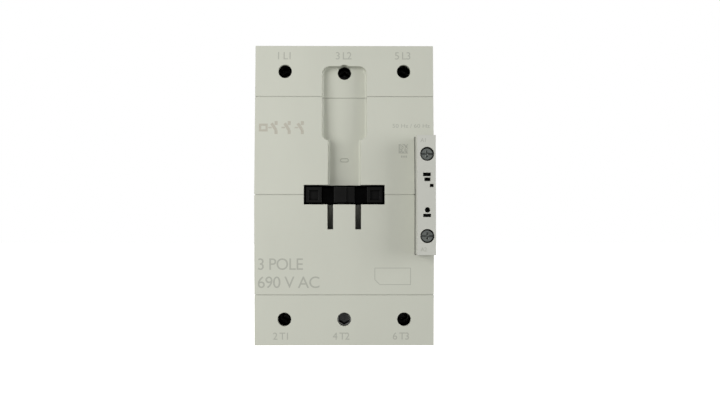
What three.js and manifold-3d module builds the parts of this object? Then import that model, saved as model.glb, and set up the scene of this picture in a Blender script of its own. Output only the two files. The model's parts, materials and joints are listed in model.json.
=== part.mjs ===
// Three-pole DIN rail contactor, in millimetres.
// Frame: the origin is the centre of the seat that rests on the rail's face. X points right, Y points back
// towards the panel, so the front looks along -Y, and Z points up, from the load side to the line side.
// The contactor is drawn switched off: the carrier is forward, and the contacts are open.

import * as THREE from 'three';
import { mergeVertices } from 'three/addons/utils/BufferGeometryUtils.js';
import Module from 'manifold-3d';

const wasm = await Module();
wasm.setup();

// ---------------------------------------------------------------- driving dimensions

const GAP = 0.3; // clearance between neighbouring pieces
const SKIN = 1; // how far a cutting tool runs past the face that it cuts

const PANEL_Y = 7.5; // the mounting panel, behind the rail seat
const RIDGE_Y = PANEL_Y - 147; // the front ridge, halfway up
const BLOCK_FRONT_Y = PANEL_Y - 157; // the face of the coil terminal block
const FACE_SLOPE = 0.042; // how fast each half of the front falls back from the ridge
const HALF_WIDTH = 45;
const HALF_HEIGHT = 75.6; // of the front, from the middle
const FOOT_TOP = 85; // of the mounting feet, from the middle

const POLE_PITCH = 30;
const POLES = [-POLE_PITCH, 0, POLE_PITCH];
const SCREW_Z = 62.5; // the terminal clamp screws, from the middle
const LINE_SEAM_Z = 49.6; // the seam between the top terminal cover and the upper front cover
const LOAD_SEAM_Z = -50.2; // the seam between the lower front cover and the bottom terminal cover
const TOOL_HOLE_R = 3.45;

const BASE_FRONT_Y = -62;
const HOUSING_FRONT_Y = -125.7;
const CLAMP_TRAVEL = 14;

const faceY = (z) => RIDGE_Y + FACE_SLOPE * Math.abs(z);

// ---------------------------------------------------------------- materials

const finish = (color, roughness, metalness) =>
  new THREE.MeshStandardMaterial({ color, roughness, metalness });
const plastic = (color, roughness = 0.55) => finish(color, roughness, 0);
const metal = (color, roughness = 0.35) => finish(color, roughness, 1);

const MATERIALS = {
  base: plastic(0x2c2d2e, 0.6),
  housing: plastic(0xc9cabd),
  cover: plastic(0xcccdc0),
  black: plastic(0x161616, 0.45),
  bobbin: plastic(0x2b2b2c, 0.5),
  latch: plastic(0x3a3a3a, 0.5),
  copper: metal(0xb87348),
  brass: metal(0xc9a45c),
  zinc: metal(0xb9bcc0),
  steel: metal(0x8f9296, 0.4),
  core: metal(0x5d5f63, 0.55),
  winding: metal(0x9c4a22, 0.45),
  spring: metal(0xa9adb2, 0.3),
};

// ---------------------------------------------------------------- solids

function solidOf(geometry) {
  const bare = geometry.clone();
  for (const name of Object.keys(bare.attributes)) {
    if (name !== 'position') bare.deleteAttribute(name);
  }
  const merged = mergeVertices(bare, 1e-4);
  return new wasm.Manifold(new wasm.Mesh({
    numProp: 3,
    vertProperties: new Float32Array(merged.attributes.position.array),
    triVerts: new Uint32Array(merged.index.array),
  }));
}

function geometryOf(solid) {
  const mesh = solid.getMesh();
  const shared = new THREE.BufferGeometry();
  shared.setAttribute('position', new THREE.BufferAttribute(new Float32Array(mesh.vertProperties), 3));
  shared.setIndex(new THREE.BufferAttribute(new Uint32Array(mesh.triVerts), 1));
  const flat = shared.toNonIndexed();
  flat.computeVertexNormals();
  return flat;
}

const join = (...solids) => solids.flat().reduce((a, b) => a.add(b));
const cut = (body, ...tools) => tools.flat().reduce((a, b) => a.subtract(b), body);

function box(x0, x1, y0, y1, z0, z1) {
  const geometry = new THREE.BoxGeometry(x1 - x0, y1 - y0, z1 - z0);
  geometry.translate((x0 + x1) / 2, (y0 + y1) / 2, (z0 + z1) / 2);
  return solidOf(geometry);
}

// The same box on the right (x above 0) and, mirrored, on the left.
const boxesLeftRight = (x0, x1, ...rest) => [box(x0, x1, ...rest), box(-x1, -x0, ...rest)];

// The same box above the height mid and, mirrored, below it.
const boxesAbout = (mid, x0, x1, y0, y1, z0, z1) => [
  box(x0, x1, y0, y1, mid + z0, mid + z1),
  box(x0, x1, y0, y1, mid - z1, mid - z0),
];

const boxesUpDown = (...sides) => boxesAbout(0, ...sides);

function rodY(x, z, radius, y0, y1, sides = 24) {
  const geometry = new THREE.CylinderGeometry(radius, radius, y1 - y0, sides);
  geometry.translate(x, (y0 + y1) / 2, z);
  return solidOf(geometry);
}

const shapeOf = (points) => new THREE.Shape(points.map(([a, b]) => new THREE.Vector2(a, b)));

// A (y, z) outline, extruded along X.
function prismX(points, x0, x1) {
  const geometry = new THREE.ExtrudeGeometry(shapeOf(points), { depth: x1 - x0, bevelEnabled: false });
  const turn = new THREE.Matrix4().makeBasis(
    new THREE.Vector3(0, 1, 0), new THREE.Vector3(0, 0, 1), new THREE.Vector3(1, 0, 0));
  geometry.applyMatrix4(turn).translate(x0, 0, 0);
  return solidOf(geometry);
}

// An (x, z) shape, extruded along Y from y1 forward to y0.
function prismY(shape, y0, y1, options = {}) {
  const settings = { depth: y1 - y0, bevelEnabled: false, curveSegments: 4, ...options };
  const geometry = new THREE.ExtrudeGeometry(shape, settings);
  geometry.rotateX(Math.PI / 2).translate(0, y1, 0);
  return solidOf(geometry);
}

// An (x, y) outline, extruded along Z.
function prismZ(points, z0, z1) {
  const geometry = new THREE.ExtrudeGeometry(shapeOf(points), { depth: z1 - z0, bevelEnabled: false });
  geometry.translate(0, 0, z0);
  return solidOf(geometry);
}

function latheY(points, sides) {
  return solidOf(new THREE.LatheGeometry(points.map(([r, y]) => new THREE.Vector2(r, y)), sides));
}

class Helix extends THREE.Curve {
  constructor(radius, length, turns) {
    super();
    Object.assign(this, { radius, length, turns });
  }

  getPoint(t, target = new THREE.Vector3()) {
    const angle = t * this.turns * 2 * Math.PI;
    return target.set(this.radius * Math.cos(angle), this.length * (t - 0.5), this.radius * Math.sin(angle));
  }
}

function polygonShape(radius, sides) {
  const corners = Array.from({ length: sides }, (_, i) => 2 * Math.PI * i / sides);
  return shapeOf(corners.map((angle) => [radius * Math.cos(angle), radius * Math.sin(angle)]));
}

// A coil spring about its own centre, along Y.
function springSolid(radius, wire, length, turns) {
  const path = new Helix(radius, length - wire, turns);
  return solidOf(new THREE.ExtrudeGeometry(polygonShape(wire / 2, 5), {
    extrudePath: path, steps: turns * 8, bevelEnabled: false,
  }));
}

function piece(name, solid, material, position = [0, 0, 0]) {
  const mesh = new THREE.Mesh(geometryOf(solid), material);
  mesh.name = name;
  mesh.position.set(...position);
  return mesh;
}

// ---------------------------------------------------------------- base housing and rail latch

const BASE = { halfWidth: 44.6, halfHeight: 59, wall: 2.4, floorY: -3 };
const RAIL_SLOT_HALF = 18; // room for a 35 mm rail
const SEAT_HALF = 14.3; // the flat that meets the rail's face
const FOOT_FRONT_Y = 1.5;
const FOOT_SLOT = { x: 30, z: 77.5, halfWidth: 2.75, halfLength: 4.5 };
const JOINING_SCREW = { x: 15, z: 52.5, seatY: -99.7 };
const LATCH = {
  halfWidth: 9, ribHalfWidth: 6.2, frontY: 1.8, ribY: 4.5, backY: 6.8,
  slotHalf: 3, slotTop: -32, slotBottom: -54,
};
const LATCH_POST = { bottom: -53.6, top: -51.5 };

function slotShape(x, z, halfWidth, halfLength) {
  const shape = new THREE.Shape();
  shape.absarc(x, z + halfLength - halfWidth, halfWidth, 0, Math.PI);
  shape.absarc(x, z - halfLength + halfWidth, halfWidth, Math.PI, 2 * Math.PI);
  return shape;
}

function feet() {
  const centreNotch = 12;
  const { halfWidth, halfHeight } = BASE;
  const plates = boxesUpDown(-halfWidth, halfWidth, FOOT_FRONT_Y, PANEL_Y, halfHeight - 1, FOOT_TOP);
  const notches = boxesUpDown(-centreNotch, centreNotch, 0, PANEL_Y + SKIN, 66, FOOT_TOP + SKIN);
  const slots = [-1, 1].flatMap((sx) => [-1, 1].map((sz) => {
    const shape = slotShape(sx * FOOT_SLOT.x, sz * FOOT_SLOT.z, FOOT_SLOT.halfWidth, FOOT_SLOT.halfLength);
    return prismY(shape, 0, PANEL_Y + SKIN);
  }));
  const halfGusset = 1.1;
  const gusset = (x, s) => {
    const outline = [[FOOT_FRONT_Y + 0.5, s * 58], [-13, s * 58], [FOOT_FRONT_Y + 0.5, s * 74]];
    return prismX(s > 0 ? outline.reverse() : outline, x - halfGusset, x + halfGusset);
  };
  const outerX = halfWidth - halfGusset;
  const gussets = [-outerX, -14, 14, outerX].flatMap((x) => [gusset(x, 1), gusset(x, -1)]);
  return cut(join(plates, gussets), notches, slots);
}

function latchChannel() {
  const side = 0.4;
  const [bottom, top] = [-70, -17];
  const [wide, narrow] = [LATCH.halfWidth + side, LATCH.ribHalfWidth + side];
  return join(
    box(-wide, wide, LATCH.frontY - side, LATCH.ribY + 0.2, bottom, top),
    box(-narrow, narrow, LATCH.ribY, PANEL_Y + SKIN, bottom, top),
  );
}

function baseHousing() {
  const { halfWidth, halfHeight, wall, floorY } = BASE;
  const inner = [halfWidth - wall, halfHeight - wall];
  const shell = cut(
    box(-halfWidth, halfWidth, BASE_FRONT_Y, PANEL_Y, -halfHeight, halfHeight),
    box(-inner[0], inner[0], BASE_FRONT_Y - SKIN, floorY, -inner[1], inner[1]),
    box(-HALF_WIDTH, HALF_WIDTH, 0, PANEL_Y + SKIN, -RAIL_SLOT_HALF, RAIL_SLOT_HALF),
    boxesUpDown(-HALF_WIDTH, HALF_WIDTH, -0.8, SKIN, SEAT_HALF, RAIL_SLOT_HALF),
  );
  const pockets = [-35.5, -21.5, 21.5, 35.5].flatMap((x) =>
    boxesUpDown(x - 5.9, x + 5.9, FOOT_FRONT_Y, PANEL_Y + SKIN, 22, 55));
  const fixedHooks = boxesLeftRight(14, 34, 1.7, 4.2, 15, RAIL_SLOT_HALF + 1);
  const coreRibs = boxesLeftRight(33.4, 36, -20, floorY + 1, -12, 12);
  const bossEnd = -28;
  const bosses = [-1, 1].flatMap((s) => {
    const x = -s * JOINING_SCREW.x;
    return [
      rodY(x, s * JOINING_SCREW.z, 4, BASE_FRONT_Y, bossEnd, 16),
      box(x - 2, x + 2, BASE_FRONT_Y, bossEnd, s > 0 ? 54 : -58, s > 0 ? 58 : -54),
    ];
  });
  const bossHoles = [-1, 1].map((s) =>
    rodY(-s * JOINING_SCREW.x, s * JOINING_SCREW.z, 2.3, BASE_FRONT_Y - SKIN, bossEnd - 5, 16));
  const post = box(-2.4, 2.4, 0, 5, LATCH_POST.bottom, LATCH_POST.top);
  const body = cut(join(shell, feet()), pockets, latchChannel());
  return cut(join(body, fixedHooks, coreRibs, bosses, post), bossHoles);
}

function railLatch() {
  const hookTop = -14.6;
  const tabBottom = -82;
  const plate = box(-LATCH.halfWidth, LATCH.halfWidth, LATCH.frontY, LATCH.ribY - 0.1, tabBottom, hookTop);
  const rib = box(-LATCH.ribHalfWidth, LATCH.ribHalfWidth, LATCH.ribY - 0.2, LATCH.backY, -64, -22);
  const chamfered = [[LATCH.frontY + 1.2, hookTop + SKIN], [PANEL_Y, hookTop + SKIN], [PANEL_Y, -18.5]];
  const hookChamfer = prismX(chamfered, -20, 20);
  const springSlot = box(-LATCH.slotHalf, LATCH.slotHalf, 0, PANEL_Y, LATCH.slotBottom, LATCH.slotTop);
  const toolSlot = box(-4, 4, 0, PANEL_Y, -78.5, -75);
  return cut(join(plate, rib), hookChamfer, springSlot, toolSlot);
}

// ---------------------------------------------------------------- contact housing

const WALL = 2.4;
const ARC_HALF_HEIGHT = 51.8; // the arc chambers, from the middle
const TERMINAL_BAY = [54, 73.2];
const CHAMBERS = [[-42.6, -16.2], [-13.8, 13.8], [16.2, 42.6]];
const BAR = { halfWidth: 7, frontY: -84, backY: -81, inner: 12, outer: 71.5 };
const BLOCK = { left: 35.65, right: 44.8, rearY: -120, z: -0.5, halfHeight: 29.3 }; // z: its own middle
const COIL_STRIP = { x0: 38, x1: 41.4, z0: 16.8, z1: 17.6 };
const SNAP_TABS = [SCREW_Z, 38];

function contactHousing() {
  const back = BASE_FRONT_Y - GAP;
  const open = HOUSING_FRONT_Y - SKIN;
  const shell = box(-HALF_WIDTH, HALF_WIDTH, HOUSING_FRONT_Y, back, -HALF_HEIGHT, HALF_HEIGHT);
  const bays = CHAMBERS.flatMap(([x0, x1]) => [
    box(x0, x1, open, back - WALL, -ARC_HALF_HEIGHT, ARC_HALF_HEIGHT),
    ...boxesUpDown(x0, x1, open, back - WALL, ...TERMINAL_BAY),
  ]);
  const cableWindows = POLES.flatMap((x) =>
    boxesUpDown(x - 10.6, x + 10.6, -105.5, -76.5, TERMINAL_BAY[1] - SKIN, HALF_HEIGHT + SKIN));
  const barSlots = POLES.flatMap((x) =>
    boxesUpDown(x - 7.6, x + 7.6, BAR.frontY - 0.6, BAR.backY + 0.6, 51, 55));
  const carrierPath = [
    box(-17, 17, open, back - 1, -8.3, 8.3),
    box(-36.6, 36.6, back - 5, back + SKIN, -6.2, 6.2),
  ];
  const blockEnd = BLOCK.halfHeight + GAP;
  const blockNotch = box(
    BLOCK.left - GAP, HALF_WIDTH + SKIN, open, BLOCK.rearY + GAP, BLOCK.z - blockEnd, BLOCK.z + blockEnd);
  const sideRecesses = boxesLeftRight(HALF_WIDTH - 1.1, HALF_WIDTH + SKIN, -112, -78, -24, 24);
  const tabWindows = SNAP_TABS.flatMap((z) => [1, -1].flatMap((s) =>
    boxesLeftRight(HALF_WIDTH - 3, HALF_WIDTH + SKIN, -123.6, -120.9, s * z - 4.2, s * z + 4.2)));

  const supports = POLES.flatMap((x) =>
    boxesUpDown(x - 8, x + 8, BAR.backY + GAP, back - 1, 26, ARC_HALF_HEIGHT + 1));
  const shelf = box(33, 43, BLOCK.rearY + GAP, BLOCK.rearY + 2.3, -31, 31);
  const atScrews = (radius, y0, y1) => [-1, 1].map((s) =>
    rodY(-s * JOINING_SCREW.x, s * JOINING_SCREW.z, radius, y0, y1, 16));
  const bosses = atScrews(5, -106, back - 1);
  const bossHoles = [
    ...atScrews(2.3, JOINING_SCREW.seatY - SKIN, back + SKIN),
    ...atScrews(3.9, open, JOINING_SCREW.seatY),
  ];
  const stripRoom = [COIL_STRIP.z0 - 0.6, COIL_STRIP.z1 + 0.6];
  const stripSlots = [[BLOCK.rearY - SKIN, BLOCK.rearY + 3.5], [back - 4, back + SKIN]].flatMap(([y0, y1]) =>
    boxesAbout(BLOCK.z, COIL_STRIP.x0 - 0.4, COIL_STRIP.x1 + 0.4, y0, y1, ...stripRoom));

  const hollow = cut(shell, bays, cableWindows, barSlots, carrierPath, blockNotch, sideRecesses, tabWindows);
  return cut(join(hollow, supports, shelf, bosses), bossHoles, stripSlots);
}

// ---------------------------------------------------------------- covers

const COVER_BACK_Y = HOUSING_FRONT_Y - GAP;
const COVER_WALL = 2.4;
const PAN_WALL = 2.2;
const SEAM = GAP / 2;
const WINDOW = { halfWidth: 20.3, halfHeight: 4.9 };
const GUIDE_SLOT = { x0: 5.55, x1: 8.45, bottom: -17.4 };
const RECESS = {
  floorY: RIDGE_Y + 7, wide: 11.3, narrow: 8.2, top: 65.2, shoulder: 30.7, corner: 4, fillet: 1.2,
};
const BLOCK_HOLE = { left: BLOCK.left - GAP, halfHeight: BLOCK.halfHeight + GAP };
const SLEEVE = { innerR: 5.4, outerR: 6.6, backY: -108 }; // the guide around each clamp screw

// The accessory recess: a wide upper part that steps in to a channel, with a fillet around its floor.
function recessTool() {
  const { floorY, wide, narrow, top, shoulder, corner, fillet } = RECESS;
  const step = wide - narrow;
  const shape = new THREE.Shape();
  shape.moveTo(-narrow, -SKIN);
  shape.lineTo(narrow, -SKIN);
  shape.lineTo(narrow, shoulder - step);
  shape.absarc(narrow, shoulder, step, -Math.PI / 2, 0);
  shape.lineTo(wide, top - corner);
  shape.absarc(wide - corner, top - corner, corner, 0, Math.PI / 2);
  shape.lineTo(-wide + corner, top);
  shape.absarc(-wide + corner, top - corner, corner, Math.PI / 2, Math.PI);
  shape.lineTo(-wide, shoulder);
  shape.absarc(-narrow, shoulder, step, Math.PI, 1.5 * Math.PI);
  return prismY(shape, floorY - 12, floorY - fillet, {
    curveSegments: 3, bevelEnabled: true, bevelSegments: 3,
    bevelThickness: fillet, bevelSize: fillet, bevelOffset: -fillet,
  });
}

// A front skin with side walls, between two heights, open at the back.
function coverShell(z0, z1, endWall) {
  const outline = (inset, low, high) => [
    [faceY(low) + inset, low], [COVER_BACK_Y + (inset ? SKIN : 0), low],
    [COVER_BACK_Y + (inset ? SKIN : 0), high], [faceY(high) + inset, high],
  ];
  const cavity = [z0 - (z0 === endWall ? -COVER_WALL : SKIN), z1 + (z1 === endWall ? -COVER_WALL : SKIN)];
  return cut(
    prismX(outline(0, z0, z1), -HALF_WIDTH, HALF_WIDTH),
    prismX(outline(COVER_WALL, ...cavity), -HALF_WIDTH + COVER_WALL, HALF_WIDTH - COVER_WALL),
  );
}

// The tongues that snap into the housing's side windows.
function snapTabs(z) {
  return [
    ...boxesLeftRight(40.8, 42.3, COVER_BACK_Y - 4, -119.4, z - 3.8, z + 3.8),
    ...boxesLeftRight(42.2, 44.6, -123.2, -121.3, z - 3.8, z + 3.8),
    ...boxesLeftRight(40.8, 43.2, COVER_BACK_Y - 4, COVER_BACK_Y, z - 3.8, z + 3.8),
  ];
}

// The solid that the accessory recess is cut from.
function recessPan(z0, z1) {
  const x = RECESS.wide + PAN_WALL;
  const backY = RECESS.floorY + PAN_WALL;
  return prismX([[faceY(z0), z0], [backY, z0], [backY, z1], [faceY(z1), z1]], -x, x);
}

// The sleeves behind the tool holes of one terminal cover: their walls, and the room for the screws in them.
// innerY holds, for each pole, where a screw's room ends in front.
function screwSleeves(z, innerY) {
  const { innerR, outerR, backY } = SLEEVE;
  return {
    walls: POLES.map((x) => rodY(x, z, outerR, faceY(z) + SKIN, backY, 20)),
    rooms: POLES.map((x, i) => rodY(x, z, innerR, innerY[i], backY + SKIN, 20)),
    holes: POLES.map((x) => rodY(x, z, TOOL_HOLE_R, RIDGE_Y - SKIN, backY)),
  };
}

function topTerminalCover() {
  const z0 = LINE_SEAM_Z + SEAM;
  const pan = recessPan(z0, RECESS.top + PAN_WALL);
  const underSkin = faceY(SCREW_Z) + COVER_WALL;
  const { walls, rooms, holes } = screwSleeves(SCREW_Z, [underSkin, RECESS.floorY + PAN_WALL, underSkin]);
  const body = join(coverShell(z0, HALF_HEIGHT, HALF_HEIGHT), pan, snapTabs(SCREW_Z), walls);
  return cut(body, recessTool(), rooms, holes);
}

function bottomTerminalCover() {
  const z1 = LOAD_SEAM_Z - SEAM;
  const underSkin = faceY(SCREW_Z) + COVER_WALL;
  const { walls, rooms, holes } = screwSleeves(-SCREW_Z, [underSkin, underSkin, underSkin]);
  return cut(join(coverShell(-HALF_HEIGHT, z1, -HALF_HEIGHT), snapTabs(-SCREW_Z), walls), rooms, holes);
}

// The walls that close a front cover around the coil terminal block, and the hole for the block.
// s is 1 for the upper front cover and -1 for the lower one.
function blockSurround(s) {
  const { left, halfHeight } = BLOCK_HOLE;
  const wall = 2;
  const y = [RIDGE_Y + 3, COVER_BACK_Y];
  const inner = halfHeight + s * BLOCK.z;
  const range = (a, b) => (s > 0 ? [a, b] : [-b, -a]);
  return {
    walls: [
      box(left - wall, left, ...y, ...range(SEAM, inner + wall)),
      box(left - wall, HALF_WIDTH - 2, ...y, ...range(inner, inner + wall)),
    ],
    hole: box(left, HALF_WIDTH + SKIN, RIDGE_Y - SKIN, COVER_BACK_Y + SKIN, ...range(-SKIN, inner)),
  };
}

function carrierWindow() {
  const { halfWidth, halfHeight } = WINDOW;
  return box(-halfWidth, halfWidth, RIDGE_Y - SKIN, COVER_BACK_Y + SKIN, -halfHeight, halfHeight);
}

function upperFrontCover() {
  const [z0, z1] = [SEAM, LINE_SEAM_Z - SEAM];
  const surround = blockSurround(1);
  const shell = join(coverShell(z0, z1), recessPan(z0, z1), surround.walls, snapTabs(SNAP_TABS[1]));
  return cut(shell, surround.hole, carrierWindow(), recessTool());
}

function lowerFrontCover() {
  const [z0, z1] = [LOAD_SEAM_Z + SEAM, -SEAM];
  const surround = blockSurround(-1);
  const slotWall = 1.4;
  const { x0, x1, bottom } = GUIDE_SLOT;
  const sleeves = boxesLeftRight(
    x0 - slotWall, x1 + slotWall, RIDGE_Y + 2.2, COVER_BACK_Y, bottom - slotWall, -WINDOW.halfHeight);
  const slots = boxesLeftRight(x0, x1, RIDGE_Y - SKIN, COVER_BACK_Y - 1.5, bottom, -WINDOW.halfHeight + SKIN);
  const shell = join(coverShell(z0, z1), sleeves, surround.walls, snapTabs(-SNAP_TABS[1]));
  return cut(shell, surround.hole, carrierWindow(), slots);
}

// ---------------------------------------------------------------- magnet system

const CORE = { halfStack: 15, centre: 11, window: 22, outer: 33 };
const YOKE = { backY: BASE.floorY - GAP, barY: -15, poleY: -32 };
const ARMATURE = { frontY: -57.7, barY: -46, poleY: -40.3 };
const BOBBIN = {
  frontY: -36, rearY: -15.6, flange: 1.2, bore: [11.4, 15.4], tube: [12.6, 16.6], half: [21.5, 26],
};

// An E-shaped stack of laminations: a bar with three legs that end at poleY.
function eCore(backY, barY, poleY) {
  const { centre, window, outer, halfStack } = CORE;
  const half = [
    [outer, backY], [outer, poleY], [window, poleY], [window, barY], [centre, barY], [centre, poleY],
  ];
  const mirrored = half.map(([x, y]) => [-x, y]).reverse();
  const outline = [...half, ...mirrored];
  if (THREE.ShapeUtils.isClockWise(shapeOf(outline).getPoints())) outline.reverse();
  return prismZ(outline, -halfStack, halfStack);
}

function coilBobbin() {
  const { frontY, rearY, flange, bore, tube, half } = BOBBIN;
  const around = ([hx, hz], y0, y1) => box(-hx, hx, y0, y1, -hz, hz);
  const body = join(
    around(tube, frontY, rearY),
    around(half, frontY, frontY + flange),
    around(half, rearY - flange, rearY),
  );
  return cut(body, around(bore, frontY - SKIN, rearY + SKIN));
}

function coilWinding() {
  const { frontY, rearY, flange, tube, half } = BOBBIN;
  const [y0, y1] = [frontY + flange + GAP, rearY - flange - GAP];
  const corner = 4;
  const [hx, hz] = [half[0] - 1, half[1] - 1];
  const rounded = new THREE.Shape();
  rounded.absarc(hx - corner, hz - corner, corner, 0, Math.PI / 2);
  rounded.absarc(-hx + corner, hz - corner, corner, Math.PI / 2, Math.PI);
  rounded.absarc(-hx + corner, -hz + corner, corner, Math.PI, 1.5 * Math.PI);
  rounded.absarc(hx - corner, -hz + corner, corner, 1.5 * Math.PI, 2 * Math.PI);
  const [cx, cz] = [tube[0] + GAP, tube[1] + GAP];
  return cut(prismY(rounded, y0, y1, { curveSegments: 2 }), box(-cx, cx, y0 - SKIN, y1 + SKIN, -cz, cz));
}

// ---------------------------------------------------------------- contact carrier

const CROSSBAR = { halfWidth: 40, frontY: -117, backY: -88, halfHeight: 7.5 };
const BRIDGE_WINDOW = { halfWidth: 6.2, frontY: -112.5, backY: -92.7 };
const PLATE = { frontY: -62, backY: -58, halfWidth: 34, halfHeight: 27 };
const FRONT_BAR = { halfWidth: 19.3, halfHeight: 4, frontY: RIDGE_Y + 1.6, pocket: [5.2, 11.4] };

function frontBar() {
  const { halfWidth, halfHeight, frontY, pocket } = FRONT_BAR;
  const bar = box(-halfWidth, halfWidth, frontY, CROSSBAR.frontY + 1, -halfHeight, halfHeight);
  const past = halfHeight + SKIN;
  const pockets = boxesLeftRight(...pocket, frontY - SKIN, frontY + 12, -past, past);
  const centreStep = box(0.9, pocket[0], frontY - SKIN, frontY + 1.2, -past, past);
  const dimples = boxesLeftRight(13, 17.8, frontY - SKIN, frontY + 1.4, -2.6, 2.2);
  return cut(bar, pockets, centreStep, dimples);
}

// The hooks that clip over the armature's bar, above and below it.
function armatureHooks() {
  const hook = (y0, z0, z1) => [-1, 1].flatMap((s) => {
    const [low, high] = s > 0 ? [z0, z1] : [-z1, -z0];
    return boxesLeftRight(12.5, 20.5, y0, ARMATURE.barY + 1.3, low, high);
  });
  return [...hook(PLATE.backY - 1, 15.4, 18.2), ...hook(ARMATURE.barY + GAP, 12.4, 16)];
}

function contactCarrier() {
  const { halfWidth, frontY, backY, halfHeight } = CROSSBAR;
  const { halfWidth: windowHalf, frontY: windowFront, backY: windowBack } = BRIDGE_WINDOW;
  const past = halfHeight + SKIN;
  const windows = POLES.map((x) => box(x - windowHalf, x + windowHalf, windowFront, windowBack, -past, past));
  const crossbar = cut(box(-halfWidth, halfWidth, frontY, backY, -halfHeight, halfHeight), windows);
  const web = box(-36, 36, backY - 0.5, PLATE.backY - 1, -5.6, 5.6);
  const [plateX, plateZ] = [PLATE.halfWidth, PLATE.halfHeight];
  const plate = box(-plateX, plateX, PLATE.frontY, PLATE.backY, -plateZ, plateZ);
  return join(crossbar, frontBar(), web, plate, armatureHooks());
}

// ---------------------------------------------------------------- current path of one pole

const BRIDGE = { frontY: -96, backY: -93, halfWidth: 5, halfLength: 24, tipY: -91.5 };
const TIP = { depth: 1.5, near: 13, far: 22 };

function fixedContact() {
  const { halfWidth, frontY, backY, inner, outer } = BAR;
  const bar = box(-halfWidth, halfWidth, frontY, backY, inner, outer);
  const tip = box(-5, 5, frontY - TIP.depth, frontY + 0.5, TIP.near, TIP.far);
  return join(bar, tip);
}

function contactBridge() {
  const { frontY, backY, halfWidth, halfLength, tipY } = BRIDGE;
  const [bend, drop] = [9, 1.4];
  const bar = prismX([
    [frontY - drop, -halfLength], [backY, -halfLength], [backY, halfLength], [frontY - drop, halfLength],
    [frontY - drop, bend + 3], [frontY, bend], [frontY, -bend], [frontY - drop, -bend - 3],
  ], -halfWidth, halfWidth);
  const tips = boxesUpDown(-4.6, 4.6, backY - 0.5, tipY, TIP.near, TIP.far);
  return join(bar, tips);
}

const CHUTE = {
  halfWidth: 10, frontY: -117, backY: -88.5, inner: 28, outer: 48, plates: 5, plate: 1.4, sheet: 0.8,
};

function arcChute() {
  const { halfWidth, frontY, backY, inner, outer, plates, plate, sheet } = CHUTE;
  const sheets = boxesLeftRight(halfWidth - sheet, halfWidth, frontY, backY, inner, outer);
  const step = (backY - frontY - plate) / (plates - 1);
  const plateX = halfWidth - sheet / 2;
  const stack = Array.from({ length: plates }, (_, i) => frontY + i * step)
    .map((y) => box(-plateX, plateX, y, y + plate, inner, outer));
  const notch = shapeOf([[-4, inner - SKIN], [4, inner - SKIN], [1, 39], [-1, 39]]);
  const throat = prismY(notch, frontY - SKIN, backY + SKIN);
  return cut(join(sheets, stack), throat);
}

// ---------------------------------------------------------------- terminal clamps, about the screw's axis

const CAGE = { halfWidth: 10, frontY: -104.3, backY: -77.6, wall: 3, side: 1.8, half: 7 };
const SCREW = { radius: 5, length: 32, hexFlats: 5, hexDepth: 6, sides: 16 };
const CLAMP_PLATE = { halfWidth: 6.8, thickness: 2.4, half: 6, backY: BAR.frontY - 0.4 };

function clampCage() {
  const { halfWidth, frontY, backY, wall, side, half } = CAGE;
  return cut(
    box(-halfWidth, halfWidth, frontY, backY, -half, half),
    box(-halfWidth + side, halfWidth - side, frontY + wall, backY - wall, -half - SKIN, half + SKIN),
    rodY(0, 0, SCREW.radius + GAP, frontY - SKIN, frontY + wall + SKIN, SCREW.sides),
  );
}

// The hollow-hexagon clamp screw. Its inner end is at y 0, and it runs forward along -Y.
function clampScrew() {
  const { radius, length, hexFlats, hexDepth, sides } = SCREW;
  const [front, rear] = [0.7, 0.9]; // the chamfers of its two ends
  const body = latheY([
    [0, -length], [radius - front, -length], [radius, -length + front],
    [radius, -rear], [radius - rear, 0], [0, 0],
  ], sides);
  const hexR = hexFlats / Math.sqrt(3);
  const hex = new THREE.CylinderGeometry(hexR, hexR, hexDepth + SKIN, 6);
  hex.rotateY(Math.PI / 6).translate(0, -length + (hexDepth - SKIN) / 2, 0);
  return cut(body, solidOf(hex));
}

function clampPlate() {
  const { halfWidth, thickness, half } = CLAMP_PLATE;
  return box(-halfWidth, halfWidth, -thickness, 0, -half, half);
}

// ---------------------------------------------------------------- coil terminal block

const COIL_SCREW = {
  x: 40.6, z: 20.05, headR: 3.2, head: 2.3, shankR: 1.75,
  headTopY: BLOCK_FRONT_Y + 1.6, tipY: -134, travel: 2.8,
};
const COIL_WASHER = { half: 3.2, thickness: 1 };
const COIL_PLATE_Y = -139.9; // the front of the strip that the wire is clamped to
const BLOCK_MARKS = [ // openings in the block's face: x, z, half width, half height
  [40.5, 10, 1.95, 0.9], [40.7, 7.6, 1.5, 0.9], [42.8, 4.6, 0.95, 0.8], [40.5, -10, 1.95, 0.8],
];
const BLOCK_INDICATOR = { x: 40.7, z: -7.3, radius: 1.35 };

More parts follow.
